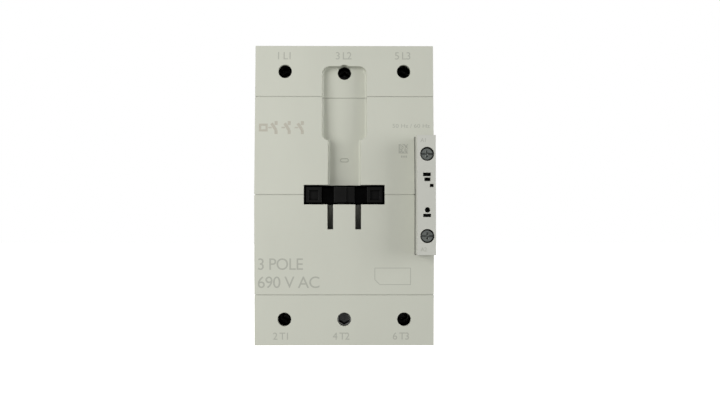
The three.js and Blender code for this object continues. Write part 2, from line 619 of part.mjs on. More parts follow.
// The block, its terminals and their screws are drawn about the block's own middle.
function coilTerminalBlock() {
  const { left, right, rearY, halfHeight } = BLOCK;
  const { x, z, tipY, travel } = COIL_SCREW;
  const markDepth = 9;
  const body = box(left, right, BLOCK_FRONT_Y, rearY, -halfHeight, halfHeight);
  const chambers = boxesUpDown(x - 3.5, x + 3.5, BLOCK_FRONT_Y + 1.3, tipY + travel + SKIN, 14.4, 27.2);
  const wireEntries = boxesUpDown(
    x - 3, x + 2.8, BLOCK_FRONT_Y + 4.8, COIL_PLATE_Y + 0.1, 26, halfHeight + SKIN);
  const toolHoles = [1, -1].map((s) => rodY(x, s * z, TOOL_HOLE_R, BLOCK_FRONT_Y - SKIN, BLOCK_FRONT_Y + 2));
  const stripPaths = boxesUpDown(
    COIL_STRIP.x0 - GAP, COIL_STRIP.x1 + GAP, tipY, rearY + SKIN, COIL_STRIP.z0 - 0.5, COIL_STRIP.z1 + 0.5);
  const marks = BLOCK_MARKS.map(([mx, mz, hw, hh]) =>
    box(mx - hw, mx + hw, BLOCK_FRONT_Y - SKIN, BLOCK_FRONT_Y + markDepth, mz - hh, mz + hh));
  const { x: indicatorX, z: indicatorZ, radius } = BLOCK_INDICATOR;
  const indicator = rodY(indicatorX, indicatorZ, radius, BLOCK_FRONT_Y - SKIN, BLOCK_FRONT_Y + markDepth, 16);
  return cut(body, chambers, wireEntries, toolHoles, stripPaths, marks, indicator);
}

// The strip from the wire clamp to the coil. s is 1 for the upper terminal.
function coilTerminal(s) {
  const { x0, x1, z0, z1 } = COIL_STRIP;
  const range = s > 0 ? [z0, z1] : [-z1, -z0];
  const t = 1.2;
  const { x: screwX } = COIL_SCREW;
  const screwZ = s * COIL_SCREW.z;
  const clamp = box(screwX - 3.2, screwX + 3.2, COIL_PLATE_Y, COIL_PLATE_Y + t, screwZ - 3.4, screwZ + 3.4);
  const strip = box(x0, x1, COIL_PLATE_Y + 0.2, -40, ...range);
  const toe = box(22, x1, -40.8, -40, ...(s > 0 ? [z0, z0 + 3] : [-z0 - 3, -z0]));
  const hole = rodY(screwX, screwZ, 2.1, COIL_PLATE_Y - SKIN, COIL_PLATE_Y + t + SKIN, 14);
  return cut(join(clamp, strip, toe), hole);
}

// The captive screw with a plain slot and a cross, its head's top at y 0.
function coilScrew() {
  const { headR, head, shankR, headTopY, tipY } = COIL_SCREW;
  const length = tipY - headTopY;
  const body = latheY([
    [0, 0], [headR - 0.4, 0], [headR, 0.4], [headR, head],
    [shankR, head], [shankR, length - 0.6], [shankR - 0.6, length], [0, length],
  ], 16);
  const slot = box(-headR - SKIN, headR + SKIN, -SKIN, 1, -0.42, 0.42);
  const cross = box(-0.42, 0.42, -SKIN, 1.2, -1.7, 1.7);
  return cut(body, slot, cross);
}

function coilWasher() {
  const { half, thickness } = COIL_WASHER;
  const hole = rodY(0, 0, COIL_SCREW.shankR + GAP, -SKIN, thickness + SKIN, 14);
  return cut(box(-half, half, 0, thickness, -half, half), hole);
}

// ---------------------------------------------------------------- joining screws

function joiningScrew() {
  return latheY([[0, -3.3], [3.1, -3.3], [3.5, -2.9], [3.5, 0], [2, 0], [2, 60], [0, 62]], 12);
}

// ---------------------------------------------------------------- assembly

const contactor = new THREE.Group();

const housings = new THREE.Group();
housings.add(
  piece('base_housing', baseHousing(), MATERIALS.base),
  piece('contact_housing', contactHousing(), MATERIALS.housing),
  piece('top_terminal_cover', topTerminalCover(), MATERIALS.cover),
  piece('upper_front_cover', upperFrontCover(), MATERIALS.cover),
  piece('lower_front_cover', lowerFrontCover(), MATERIALS.cover),
  piece('bottom_terminal_cover', bottomTerminalCover(), MATERIALS.cover),
);
[['left', 1], ['right', -1]].forEach(([side, s]) => {
  const place = [-s * JOINING_SCREW.x, JOINING_SCREW.seatY - GAP, s * JOINING_SCREW.z];
  housings.add(piece(`joining_screw_${side}`, joiningScrew(), MATERIALS.zinc, place));
});

const railMount = new THREE.Group();
railMount.add(piece('rail_latch', railLatch(), MATERIALS.latch));
const latchSpringSolid = springSolid(1.9, 0.8, LATCH.slotTop - LATCH_POST.top - 2 * GAP, 5);
const latchSpringPlace = [0, 4.1, (LATCH.slotTop + LATCH_POST.top) / 2];
const latchSpring = piece('rail_latch_spring', latchSpringSolid, MATERIALS.spring, latchSpringPlace);
latchSpring.rotation.x = Math.PI / 2;
railMount.add(latchSpring);

const magnet = new THREE.Group();
magnet.add(
  piece('magnet_yoke', eCore(YOKE.backY, YOKE.barY, YOKE.poleY), MATERIALS.core),
  piece('coil_bobbin', coilBobbin(), MATERIALS.bobbin),
  piece('coil_winding', coilWinding(), MATERIALS.winding),
);
const returnSpring = {
  length: BOBBIN.frontY - PLATE.backY - 2 * GAP,
  middleY: (BOBBIN.frontY + PLATE.backY) / 2,
};
[['upper', 22.3], ['lower', -22.3]].forEach(([side, z]) => {
  const solid = springSolid(2.8, 0.9, returnSpring.length, 5);
  magnet.add(piece(`return_spring_${side}`, solid, MATERIALS.spring, [0, returnSpring.middleY, z]));
});

const moving = new THREE.Group();
moving.add(
  piece('contact_carrier', contactCarrier(), MATERIALS.black),
  piece('armature', eCore(ARMATURE.frontY, ARMATURE.barY, ARMATURE.poleY), MATERIALS.core),
);
const springEnds = [BRIDGE_WINDOW.frontY + GAP, BRIDGE.frontY - GAP];
POLES.forEach((x, i) => moving.add(
  piece(`contact_bridge_${i + 1}`, contactBridge(), MATERIALS.copper, [x, 0, 0]),
  piece(`contact_spring_${i + 1}`, springSolid(3.2, 1.1, springEnds[1] - springEnds[0], 4), MATERIALS.spring,
    [x, (springEnds[0] + springEnds[1]) / 2, 0]),
));

// One side's fixed contacts, chutes and clamps. The load side is the line side turned half round about Y.
function terminalSide(side, openPole) {
  const group = new THREE.Group();
  const turned = side === 'load';
  POLES.forEach((poleX, i) => {
    const x = turned ? -poleX : poleX;
    const back = i + 1 === openPole ? CLAMP_PLATE.backY - CLAMP_TRAVEL : CLAMP_PLATE.backY;
    const screwPlace = [x, back - CLAMP_PLATE.thickness - GAP, SCREW_Z];
    group.add(
      piece(`${side}_contact_${i + 1}`, fixedContact(), MATERIALS.copper, [x, 0, 0]),
      piece(`${side}_arc_chute_${i + 1}`, arcChute(), MATERIALS.steel, [x, 0, 0]),
      piece(`${side}_clamp_cage_${i + 1}`, clampCage(), MATERIALS.zinc, [x, 0, SCREW_Z]),
      piece(`${side}_clamp_plate_${i + 1}`, clampPlate(), MATERIALS.zinc, [x, back, SCREW_Z]),
      piece(`${side}_clamp_screw_${i + 1}`, clampScrew(), MATERIALS.zinc, screwPlace),
    );
  });
  if (turned) group.rotation.y = Math.PI;
  return group;
}

const coilBlock = new THREE.Group();
coilBlock.position.z = BLOCK.z;
coilBlock.add(piece('coil_terminal_block', coilTerminalBlock(), MATERIALS.cover));
[['upper', 1], ['lower', -1]].forEach(([side, s]) => {
  const { x, z, headTopY, head } = COIL_SCREW;
  coilBlock.add(
    piece(`coil_terminal_${side}`, coilTerminal(s), MATERIALS.brass),
    piece(`coil_screw_${side}`, coilScrew(), MATERIALS.zinc, [x, headTopY, s * z]),
    piece(`coil_washer_${side}`, coilWasher(), MATERIALS.zinc, [x, headTopY + head + GAP, s * z]),
  );
});

const openLoadClamp = 2;
contactor.add(housings, railMount, magnet, moving);
contactor.add(terminalSide('line', 0), terminalSide('load', openLoadClamp), coilBlock);

export default contactor;
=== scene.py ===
"""Looks of a three-pole DIN rail contactor: edges, threads, springs, print, materials, light and camera.

Lengths are in metres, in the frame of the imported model: X right, Z up, and the front faces -Y.
"""

import json
import math
import random

import bmesh
import bpy
from mathutils import Matrix, Vector
from mathutils.bvhtree import BVHTree


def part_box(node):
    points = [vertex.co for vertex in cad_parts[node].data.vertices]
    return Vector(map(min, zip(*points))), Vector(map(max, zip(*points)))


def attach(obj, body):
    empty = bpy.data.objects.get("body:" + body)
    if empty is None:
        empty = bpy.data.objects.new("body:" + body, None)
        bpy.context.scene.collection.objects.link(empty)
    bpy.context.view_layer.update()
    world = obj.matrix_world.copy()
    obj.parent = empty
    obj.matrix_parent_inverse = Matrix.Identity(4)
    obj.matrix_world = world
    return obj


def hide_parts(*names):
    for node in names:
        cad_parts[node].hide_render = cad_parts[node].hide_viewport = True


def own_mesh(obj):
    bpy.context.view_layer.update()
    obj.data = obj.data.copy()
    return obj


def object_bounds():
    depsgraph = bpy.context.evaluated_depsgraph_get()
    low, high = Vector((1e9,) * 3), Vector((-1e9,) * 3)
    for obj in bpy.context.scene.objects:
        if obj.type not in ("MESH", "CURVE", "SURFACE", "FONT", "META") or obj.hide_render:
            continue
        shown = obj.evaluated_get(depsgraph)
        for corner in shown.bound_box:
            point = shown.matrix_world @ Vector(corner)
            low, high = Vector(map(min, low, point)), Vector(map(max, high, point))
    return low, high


MM = 0.001
WELD = 1e-6  # points closer than this are one point

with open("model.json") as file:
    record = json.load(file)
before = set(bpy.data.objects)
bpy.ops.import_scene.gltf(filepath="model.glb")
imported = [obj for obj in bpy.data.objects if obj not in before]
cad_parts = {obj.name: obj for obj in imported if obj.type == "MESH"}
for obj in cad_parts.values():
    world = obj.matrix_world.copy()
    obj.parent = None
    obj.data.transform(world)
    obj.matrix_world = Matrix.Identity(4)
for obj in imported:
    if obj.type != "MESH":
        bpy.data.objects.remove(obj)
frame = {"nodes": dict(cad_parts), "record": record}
CAD_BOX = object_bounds()
NODES = frame["nodes"]
RECORD = frame["record"]
BODY_OF = {node: body for body, members in RECORD["behaviour"]["bodies"].items() for node in members}
SLOT_OF = {part["node"]: part["material_slot"] for part in RECORD["subparts"]}
POLES = (1, 2, 3)
SIDES = ("line", "load")


# ---------------------------------------------------------------- shader helpers


class Shader:
    """A material under construction: its nodes are added and linked by these few calls."""

    def __init__(self, name):
        self.material = bpy.data.materials.new(name)
        self.material.use_nodes = True
        self.tree = self.material.node_tree
        self.surface = self.tree.nodes["Principled BSDF"]
        self.place = self.add("ShaderNodeTexCoord").outputs["Object"]

    def add(self, kind, links=None, **settings):
        """A node with its properties or input values set, and its inputs linked."""
        node = self.tree.nodes.new(kind)
        for key, value in settings.items():
            if hasattr(node, key):
                setattr(node, key, value)
            else:
                node.inputs[key].default_value = value
        for key, source in (links or {}).items():
            self.tree.links.new(source, node.inputs[key])
        return node

    def set(self, **values):
        """Constant values on the surface shader's own sockets. An underscore stands for a space."""
        for key, value in values.items():
            self.surface.inputs[key.replace("_", " ")].default_value = value

    def link(self, source, socket):
        self.tree.links.new(source, self.surface.inputs[socket])

    def stretched(self, scale):
        return self.add("ShaderNodeMapping", {"Vector": self.place}, Scale=scale).outputs["Vector"]

    def noise(self, scale, detail=2.0, place=None):
        """Noise from 0 to 1 around 0.5, with features about 1 / scale metres across."""
        links = {"Vector": place or self.place}
        node = self.add("ShaderNodeTexNoise", links, Scale=scale, Detail=detail, Roughness=0.55)
        return node.outputs["Fac"]

    def spread(self, factor, low, high, start=0.3, end=0.7):
        """A value that goes from low to high as factor goes from start to end."""
        settings = {"From Min": start, "From Max": end, "To Min": low, "To Max": high}
        return self.add("ShaderNodeMapRange", {"Value": factor}, **settings).outputs["Result"]

    def mix(self, factor, first, second, blend="MIX"):
        """A mix of two colours, each a colour or a node's output."""
        node = self.add("ShaderNodeMix", data_type="RGBA", blend_type=blend, clamp_factor=True)
        for socket, value in ((node.inputs[0], factor), (node.inputs[6], first), (node.inputs[7], second)):
            if isinstance(value, bpy.types.NodeSocket):
                self.tree.links.new(value, socket)
            elif isinstance(value, (int, float)):
                socket.default_value = value
            else:
                socket.default_value = (*value, 1.0)
        return node.outputs[2]

    def crevice(self, reach, samples=8):
        """A value that is 1 in the open, and nears 0 in corners and gaps narrower than reach."""
        node = self.add("ShaderNodeAmbientOcclusion", samples=samples, Distance=reach)
        return node.outputs["AO"]

    def with_painted_cavity_shade(self, color, depths, shade_ends_at=0.16):
        """The colour with painted shade, fading to that part of itself at the bottom of deep holes and inside
        the housing.
        """
        open_sky = self.spread(self.crevice(PAINTED_SHADE_REACH, samples=16), depths, 1, 0, shade_ends_at)
        dark = self.add("ShaderNodeCombineColor", {"Red": open_sky, "Green": open_sky, "Blue": open_sky})
        return self.mix(1.0, color, dark.outputs["Color"], blend="MULTIPLY")

    def bump(self, height, depth):
        node = self.add("ShaderNodeBump", {"Height": height}, Strength=1.0, Distance=depth)
        self.link(node.outputs["Normal"], "Normal")


# How far from an opening the painted shade in deep holes reaches.
PAINTED_SHADE_REACH = 28 * MM  # about the depth of the terminal holes


def shade(color, factor):
    return tuple(channel * factor for channel in color)


# ---------------------------------------------------------------- materials


def moulded_plastic(name, color, roughness=0.45, mottle=0.018, corner_dust_and_shade=0.16, gloss=0.42, shade_ends_at=0.16):
    """Injection-moulded plastic: eroded grain, faint flow mottling, and corners darkened by a little dust and
    by painted shade.
    """
    s = Shader(name)
    flow = s.noise(38, 3, s.stretched((1, 1, 0.45)))
    base = s.mix(s.spread(flow, 0, 1), shade(color, 1 - mottle), shade(color, 1 + mottle))
    speck = s.spread(s.noise(3600, 1), 0, 1, 0.62, 0.74)
    base = s.mix(s.spread(speck, 0, 0.06, 0, 1), base, shade(color, 0.7))
    # Painted shade and a little dust: the colour darkens in corners and gaps narrower than 1.6 mm.
    corners = s.spread(s.crevice(1.6 * MM), corner_dust_and_shade, 0, 0.25, 0.95)
    s.link(s.with_painted_cavity_shade(s.mix(corners, base, shade(color, 0.45)), 0.03, shade_ends_at), "Base Color")
    s.link(s.spread(s.noise(240, 4), roughness - 0.05, roughness + 0.06), "Roughness")
    s.bump(s.noise(2300, 3), 0.012 * MM)
    s.set(IOR=1.5, Specular_IOR_Level=gloss)
    return s.material


def plated_steel(name, color, roughness=0.3, dull=0.16):
    """Zinc-plated steel: fine lines, cloudy passivation, and painted shade in its corners."""
    s = Shader(name)
    cloud = s.noise(420, 4)
    base = s.mix(s.spread(cloud, 0, 1), shade(color, 1 - dull), shade(color, 1 + dull * 0.5))
    tint = (color[0] * 1.02, color[1] * 0.98, color[2] * 0.86)
    base = s.mix(s.spread(s.noise(900, 2), 0, 0.5), base, tint)
    # Painted shade: the colour darkens in corners and gaps narrower than 0.8 mm.
    corners = s.spread(s.crevice(0.8 * MM), 0.55, 0, 0.2, 0.9)
    s.link(s.with_painted_cavity_shade(s.mix(corners, base, shade(color, 0.3)), 0.04, 0.6), "Base Color")
    s.link(s.spread(s.noise(1500, 3), roughness - 0.07, roughness + 0.12), "Roughness")
    s.bump(s.noise(5200, 2, s.stretched((1, 0.12, 1))), 0.006 * MM)
    s.set(Metallic=1.0)
    return s.material


def drawn_wire(name, color):
    """Spring wire: dark oil in its drawing lines."""
    s = Shader(name)
    lines = s.noise(2600, 3)
    s.link(s.mix(s.spread(lines, 0, 1), shade(color, 0.72), shade(color, 1.08)), "Base Color")
    s.link(s.spread(lines, 0.24, 0.42), "Roughness")
    s.bump(lines, 0.005 * MM)
    s.set(Metallic=1.0)
    return s.material


def contact_copper(name, color, silver, silver_reach):
    """Rolled copper bar that has browned a little, with silver tips near the middle of the device."""
    s = Shader(name)
    tarnish = s.noise(160, 5)
    base = s.mix(s.spread(tarnish, 0, 0.8), color, (color[0] * 0.55, color[1] * 0.42, color[2] * 0.4))
    place = s.add("ShaderNodeSeparateXYZ", {"Vector": s.place})
    height = s.add("ShaderNodeMath", {0: place.outputs["Z"]}, operation="ABSOLUTE").outputs[0]
    near = s.spread(height, 1, 0, silver_reach, silver_reach + 0.2 * MM)
    s.link(s.mix(near, base, silver), "Base Color")
    s.link(s.spread(tarnish, 0.22, 0.44), "Roughness")
    s.bump(s.noise(1400, 3, s.stretched((1, 1, 0.15))), 0.006 * MM)
    s.set(Metallic=1.0)
    return s.material


BANDS_PER_PITCH = 0.31416  # the wave texture's scale that gives one band in each pitch


def layered(name, color, gap_color, pitch, axis, roughness, metallic, depth):
    """Layers or turns stacked along one axis, such as core laminations or a winding's wire."""
    s = Shader(name)
    wave = s.add("ShaderNodeTexWave", {"Vector": s.place}, wave_type="BANDS", bands_direction=axis,
                 wave_profile="SIN", Distortion=0.0, Scale=BANDS_PER_PITCH / pitch)
    lines = wave.outputs["Fac"]
    worn = s.mix(s.spread(s.noise(300, 4), 0, 0.45), color, gap_color)
    s.link(s.mix(s.spread(lines, 1, 0, 0.02, 0.3), worn, gap_color), "Base Color")
    s.link(s.spread(s.noise(800, 3), roughness - 0.08, roughness + 0.1), "Roughness")
    s.bump(lines, depth)
    s.set(Metallic=metallic)
    return s.material


def pad_print(name, color):
    """Thin pad-printed ink, slightly uneven."""
    s = Shader(name)
    ink = s.noise(1800, 3)
    s.link(s.mix(s.spread(ink, 0, 1), shade(color, 0.93), shade(color, 1.06)), "Base Color")
    s.link(s.spread(ink, 0.5, 0.65), "Roughness")
    return s.material


PALE = (0.600, 0.610, 0.530)
WARM_GREY = (0.490, 0.470, 0.395)
SCREW_GREY = (0.33, 0.36, 0.35)
ZINC = (0.62, 0.63, 0.64)
SCALED_STEEL = (0.55, 0.42, 0.34)
TINNED = (0.74, 0.70, 0.60)
SPRING_GREY = (0.50, 0.51, 0.53)
BLOCK_GREY = (0.582, 0.587, 0.534)
BASE_BLACK = (0.020, 0.021, 0.023)
CARRIER_BLACK = (0.0075, 0.0075, 0.0072)
LATCH_BLACK = (0.035, 0.036, 0.038)
BOBBIN_BLACK = (0.018, 0.018, 0.020)
COPPER = (0.80, 0.40, 0.26)
SILVER = (0.86, 0.85, 0.82)
SILVER_REACH = 22.2 * MM
CORE = (0.30, 0.31, 0.33)
CORE_GAP = (0.08, 0.075, 0.07)
ENAMEL = (0.46, 0.13, 0.04)
ENAMEL_GAP = (0.10, 0.02, 0.008)
MATERIALS = {
    "cover_plastic": moulded_plastic("cover_plastic", PALE),
    "housing_plastic": moulded_plastic("housing_plastic", shade(PALE, 0.97), roughness=0.5),
    "base_plastic": moulded_plastic("base_plastic", BASE_BLACK, roughness=0.52, mottle=0.08, corner_dust_and_shade=0.5),
    # The carrier's corners and pockets get strong painted shade.
    "carrier_plastic": moulded_plastic("carrier_plastic", CARRIER_BLACK, roughness=0.36, mottle=0.35,
                                       corner_dust_and_shade=0.9, gloss=0.1, shade_ends_at=0.8),
    "latch_plastic": moulded_plastic("latch_plastic", LATCH_BLACK, roughness=0.4, mottle=0.06, corner_dust_and_shade=0.5),
    "bobbin_plastic": moulded_plastic("bobbin_plastic", BOBBIN_BLACK, roughness=0.45, mottle=0.06, corner_dust_and_shade=0.5),
    "zinc_steel": plated_steel("zinc_steel", ZINC),
    "chute_steel": plated_steel("chute_steel", SCALED_STEEL, roughness=0.4, dull=0.22),
    "tinned_brass": plated_steel("tinned_brass", TINNED, roughness=0.34),
    "spring_steel": drawn_wire("spring_steel", SPRING_GREY),
    "copper": contact_copper("copper", COPPER, SILVER, SILVER_REACH),
    "core_steel": layered("core_steel", CORE, CORE_GAP, 0.5 * MM, "Z", 0.42, 1.0, 0.03 * MM),
    "coil_wire": layered("coil_wire", ENAMEL, ENAMEL_GAP, 0.32 * MM, "Y", 0.3, 0.6, 0.12 * MM),
}
SCREW_STEEL = plated_steel("screw_steel", SCREW_GREY, roughness=0.24, dull=0.34)
OWN_MATERIALS = {  # nodes that look a little different from the rest of their slot
    "coil_terminal_block": moulded_plastic("block_plastic", BLOCK_GREY),
    "coil_screw_upper": SCREW_STEEL,
    "coil_screw_lower": SCREW_STEEL,
}
INK = pad_print("grey_ink", shade(PALE, 0.72))
WARM_INK = pad_print("warm_grey_ink", WARM_GREY)


# ---------------------------------------------------------------- mesh helpers


def piece(name, mesh, body, slot, material=None):
    """Makes an object of a finished mesh, and lets it ride on its CAD body."""
    obj = bpy.data.objects.new(name, mesh)
    bpy.context.scene.collection.objects.link(obj)
    mesh.materials.clear()
    mesh.materials.append(material or MATERIALS[slot])
    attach(obj, body)
    return obj


def smooth(mesh, angle):
    mesh.shade_smooth()
    mesh.set_sharp_from_angle(angle=math.radians(angle))


def mended(mesh, weld=False, fill=False):
    """The mesh with its faces turned outwards, on request after joining equal points or closing open ends."""
    shape = bmesh.new()
    shape.from_mesh(mesh)
    if weld:
        bmesh.ops.remove_doubles(shape, verts=shape.verts, dist=WELD)
    if fill:
        bmesh.ops.holes_fill(shape, edges=shape.edges)
    bmesh.ops.recalc_face_normals(shape, faces=shape.faces)
    shape.to_mesh(mesh)
    shape.free()
    return mesh


def moulded_mesh(node, radius, in_triangles):
    """A CAD node's mesh with rounded edges between whole flat faces, or between triangles."""
    shape = bmesh.new()
    shape.from_mesh(NODES[node].data)
    bmesh.ops.remove_doubles(shape, verts=shape.verts, dist=WELD)
    bmesh.ops.dissolve_limit(shape, angle_limit=math.radians(0.6), verts=shape.verts, edges=shape.edges)
    if in_triangles:
        bmesh.ops.triangulate(shape, faces=shape.faces)
    corner, shortest = math.radians(28), 2.1 * radius
    edges = [e for e in shape.edges
             if len(e.link_faces) == 2 and e.calc_face_angle(0) > corner and e.calc_length() > shortest]
    bmesh.ops.bevel(shape, geom=edges, offset=radius, segments=2, profile=0.5,
                    affect="EDGES", clamp_overlap=False, offset_type="OFFSET")
    bmesh.ops.remove_doubles(shape, verts=shape.verts, dist=WELD)
    mesh = bpy.data.meshes.new(node)
    shape.to_mesh(mesh)
    shape.free()
    return mesh


def mould(node, radius, in_triangles=False):
    """Replaces a CAD node by the same shape with the small radii of a moulded, rolled or cast piece."""
    mesh = moulded_mesh(node, radius, in_triangles)
    smooth(mesh, 46)
    obj = piece(f"{node}_shell", mesh, BODY_OF[node], SLOT_OF[node], OWN_MATERIALS.get(node))
    weighted = obj.modifiers.new("flat_faces", "WEIGHTED_NORMAL")
    weighted.keep_sharp = True
    weighted.weight = 90
    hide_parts(node)
    return obj


def lofted(name, rings):
    """A mesh through rings of equal length. A ring of one point closes an end."""
    vertices, faces, starts = [], [], []
    for ring in rings:
        starts.append(len(vertices))
        vertices += ring
    for a, b, first, second in zip(starts, starts[1:], rings, rings[1:]):
        n = max(len(first), len(second))
        for i in range(n):
            j = (i + 1) % n
            if len(first) == 1:
                faces.append((a, b + j, b + i))
            elif len(second) == 1:
                faces.append((a + i, a + j, b))
            else:
                faces.append((a + i, a + j, b + j, b + i))
    mesh = bpy.data.meshes.new(name)
    mesh.from_pydata(vertices, [], faces)
    return mended(mesh)


# ---------------------------------------------------------------- clamp screws

SCREW_PITCH = 1.5 * MM
HEX_FLATS = 5.0 * MM
HEX_DEPTH = 6.0 * MM


def hexagon_radius(angle, flats):
    third = math.radians(60)
    return flats / 2 / math.cos((angle % third) - third / 2)


def ring_at(centre, y, radius_at, count):
    angles = [2 * math.pi * i / count for i in range(count)]
    return [(centre.x + radius_at(t) * math.sin(t), y, centre.z + radius_at(t) * math.cos(t)) for t in angles]


def clamp_screw(node):
    """A fully threaded screw with a hexagon socket in its front end."""
    low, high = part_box(node)
    centre = (low + high) / 2
    radius = (high.x - low.x) / 2 - 0.02 * MM
    count, rows_per_turn = 48, 8
    depth = 0.55 * SCREW_PITCH
    lead_in = 0.9 * MM
    rows = round((high.y - low.y) / SCREW_PITCH * rows_per_turn)

    def thread_radius(y):
        limit = radius - max(0.0, lead_in - min(y - low.y, high.y - y))

        def at(angle):
            phase = (y / SCREW_PITCH - angle / (2 * math.pi)) % 1.0
            crest = min(1.0, max(0.0, 1.6 - 2.5 * abs(2 * phase - 1)))
            return min(limit, radius - depth * (1 - crest))
        return at

    def socket(scale):
        return lambda angle: scale * hexagon_radius(angle, HEX_FLATS)

    lip = radius - lead_in - 0.1 * MM
    rings = [
        [(centre.x, low.y + HEX_DEPTH + 1.2 * MM, centre.z)],
        ring_at(centre, low.y + HEX_DEPTH, socket(0.94), count),
        ring_at(centre, low.y + HEX_DEPTH, socket(1.0), count),
        ring_at(centre, low.y + 0.35 * MM, socket(1.0), count),
        ring_at(centre, low.y, socket(1.1), count),
        ring_at(centre, low.y, lambda t: lip, count),
    ]
    for row in range(rows + 1):
        y = low.y + (high.y - low.y) * row / rows
        rings.append(ring_at(centre, y, thread_radius(y), count))
    rings.append([(centre.x, high.y, centre.z)])
    mesh = lofted(node, rings)
    smooth(mesh, 42)
    obj = piece(f"{node}_thread", mesh, BODY_OF[node], SLOT_OF[node])
    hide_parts(node)


# ---------------------------------------------------------------- springs


def coil_spring(node, turns, wire, anchor_at_high):
    """A round-wire compression spring with closed ends, in the space of its CAD node."""
    low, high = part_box(node)
    centre = (low + high) / 2
    size = high - low
    along = max(range(3), key=lambda i: size[i])
    across = [i for i in range(3) if i != along]
    radius = min(size[i] for i in across) / 2 - wire / 2
    length = size[along] - wire
    steps, sides = int(turns * 28), 12
    dead = 0.75 / turns

    def rise(t):
        live = min(1.0, max(0.0, (t - dead) / (1 - 2 * dead)))
        end = wire * 0.6 / length
        return end * min(1.0, t / dead) + (1 - 2 * end) * live + end * max(0.0, (t - 1 + dead) / dead)

    def point(t):
        p = Vector(centre)
        angle = 2 * math.pi * turns * t
        p[across[0]] += radius * math.cos(angle)
        p[across[1]] += radius * math.sin(angle)
        p[along] += length * (rise(t) - 0.5)
        return p

    axis = Vector([1.0 if i == along else 0.0 for i in range(3)])
    rings = []
    for step in range(steps + 1):
        t = step / steps
        here = point(t)
        out = (here - centre - axis * (here - centre).dot(axis)).normalized()
        ahead = (point(min(1, t + 1e-4)) - point(max(0, t - 1e-4))).normalized()
        side = ahead.cross(out).normalized()
        corners = [2 * math.pi * i / sides for i in range(sides)]
        rings.append([tuple(here + wire / 2 * (out * math.cos(a) + side * math.sin(a))) for a in corners])
    rings = [[tuple(point(0))]] + rings + [[tuple(point(1))]]
    mesh = lofted(node, rings)
    smooth(mesh, 50)
    obj = piece(f"{node}_coil", mesh, BODY_OF[node], SLOT_OF[node])
    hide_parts(node)
    anchor = Vector(centre)
    anchor[along] = high[along] if anchor_at_high else low[along]
    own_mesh(obj)


# ---------------------------------------------------------------- print on the front


def face_trees(nodes):
    """Search trees of the CAD nodes' faces, to find the front surface at a place."""
    trees = []
    for node in nodes:
        data = NODES[node].data
        corners = [vertex.co for vertex in data.vertices]
        trees.append(BVHTree.FromPolygons(corners, [face.vertices for face in data.polygons]))
    return trees


COVERS = (
    "top_terminal_cover", "upper_front_cover", "lower_front_cover", "bottom_terminal_cover",
    "coil_terminal_block",
)
FRONT = face_trees(COVERS)
INK_LIFT = 0.02 * MM


def surface_at(x, z):
    """The foremost point of the covers at x and z, with its outward normal."""
    best = None
    for tree in FRONT:
        hit, normal, _, _ = tree.ray_cast(Vector((x, -1.0, z)), Vector((0, 1, 0)))
        if hit is not None and (best is None or hit.y < best[0].y):
            best = (hit, normal)
    return best


def on_front(x, z):
    """The matrix that lays a flat drawing, with its y up and its z out, on the front at x and z."""
    hit, normal = surface_at(x, z)
    if normal.y > 0:
        normal = -normal
    right = Vector((1, 0, 0))
    up = normal.cross(right).normalized()
    turn = Matrix((right, up, normal)).transposed().to_4x4()
    return Matrix.Translation(hit + normal * INK_LIFT) @ turn


def print_text(name, text, x, z, height, align="CENTER", spread=1.0, spacing=1.0):
    """Printed characters with capitals of this height, whose middle or left end is at x and z."""
    capital = 0.72  # height of a capital in the font, as a part of its size
    curve = bpy.data.curves.new(name, "FONT")
    curve.body = text
    curve.size = height / capital
    curve.align_x, curve.align_y = align, "CENTER"
    curve.space_character = spacing
    curve.resolution_u = 4
    obj = bpy.data.objects.new(name, curve)
    bpy.context.scene.collection.objects.link(obj)
    obj.matrix_world = on_front(x, z) @ Matrix.Diagonal((spread, 1, 1, 1))
    curve.materials.append(INK)
    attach(obj, "housing")
    return obj


def print_loops(name, x, z, outlines, material=INK):
    """Printed areas: each outline is a list of (right, up) corners about x and z."""
    place = on_front(x, z)
    vertices, faces = [], []
    for outline in outlines:
        faces.append(range(len(vertices), len(vertices) + len(outline)))
        vertices += [tuple(place @ Vector((u, v, 0))) for u, v in outline]
    mesh = bpy.data.meshes.new(name)
    mesh.from_pydata(vertices, [], [list(face) for face in faces])
    return piece(name, mesh, "housing", "cover_plastic", material)


def outline_strips(points, width):
    """The border of a closed outline, as one strip per side."""
    strips = []
    n = len(points)
    centre = Vector((sum(p[0] for p in points) / n, sum(p[1] for p in points) / n))

    def inset(i):
        before, here, after = (Vector(points[(i + k) % n]) for k in (-1, 0, 1))
        a = (here - before).normalized()
        b = (after - here).normalized()
        normal_a, normal_b = Vector((-a.y, a.x)), Vector((-b.y, b.x))
        if (centre - here).dot(normal_a) < 0:
            normal_a, normal_b = -normal_a, -normal_b
        turn = normal_a + normal_b
        return here + turn * (width / (1 + normal_a.dot(normal_b)))

    for i in range(n):
        j = (i + 1) % n
        strips.append([points[i], points[j], tuple(inset(j)), tuple(inset(i))])
    return strips


def box_outline(width, height, x=0.0, z=0.0):
    return [(x - width / 2, z - height / 2), (x + width / 2, z - height / 2),
            (x + width / 2, z + height / 2), (x - width / 2, z + height / 2)]


def line_outline(start, end, width):
    """A straight printed line between two points."""
    a, b = Vector(start), Vector(end)
    along = (b - a).normalized() * width / 2
    across = Vector((-along.y, along.x))
    return [tuple(a - across), tuple(b - across), tuple(b + across), tuple(a + across)]


def middle(node):
    low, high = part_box(node)
    return (low + high) / 2


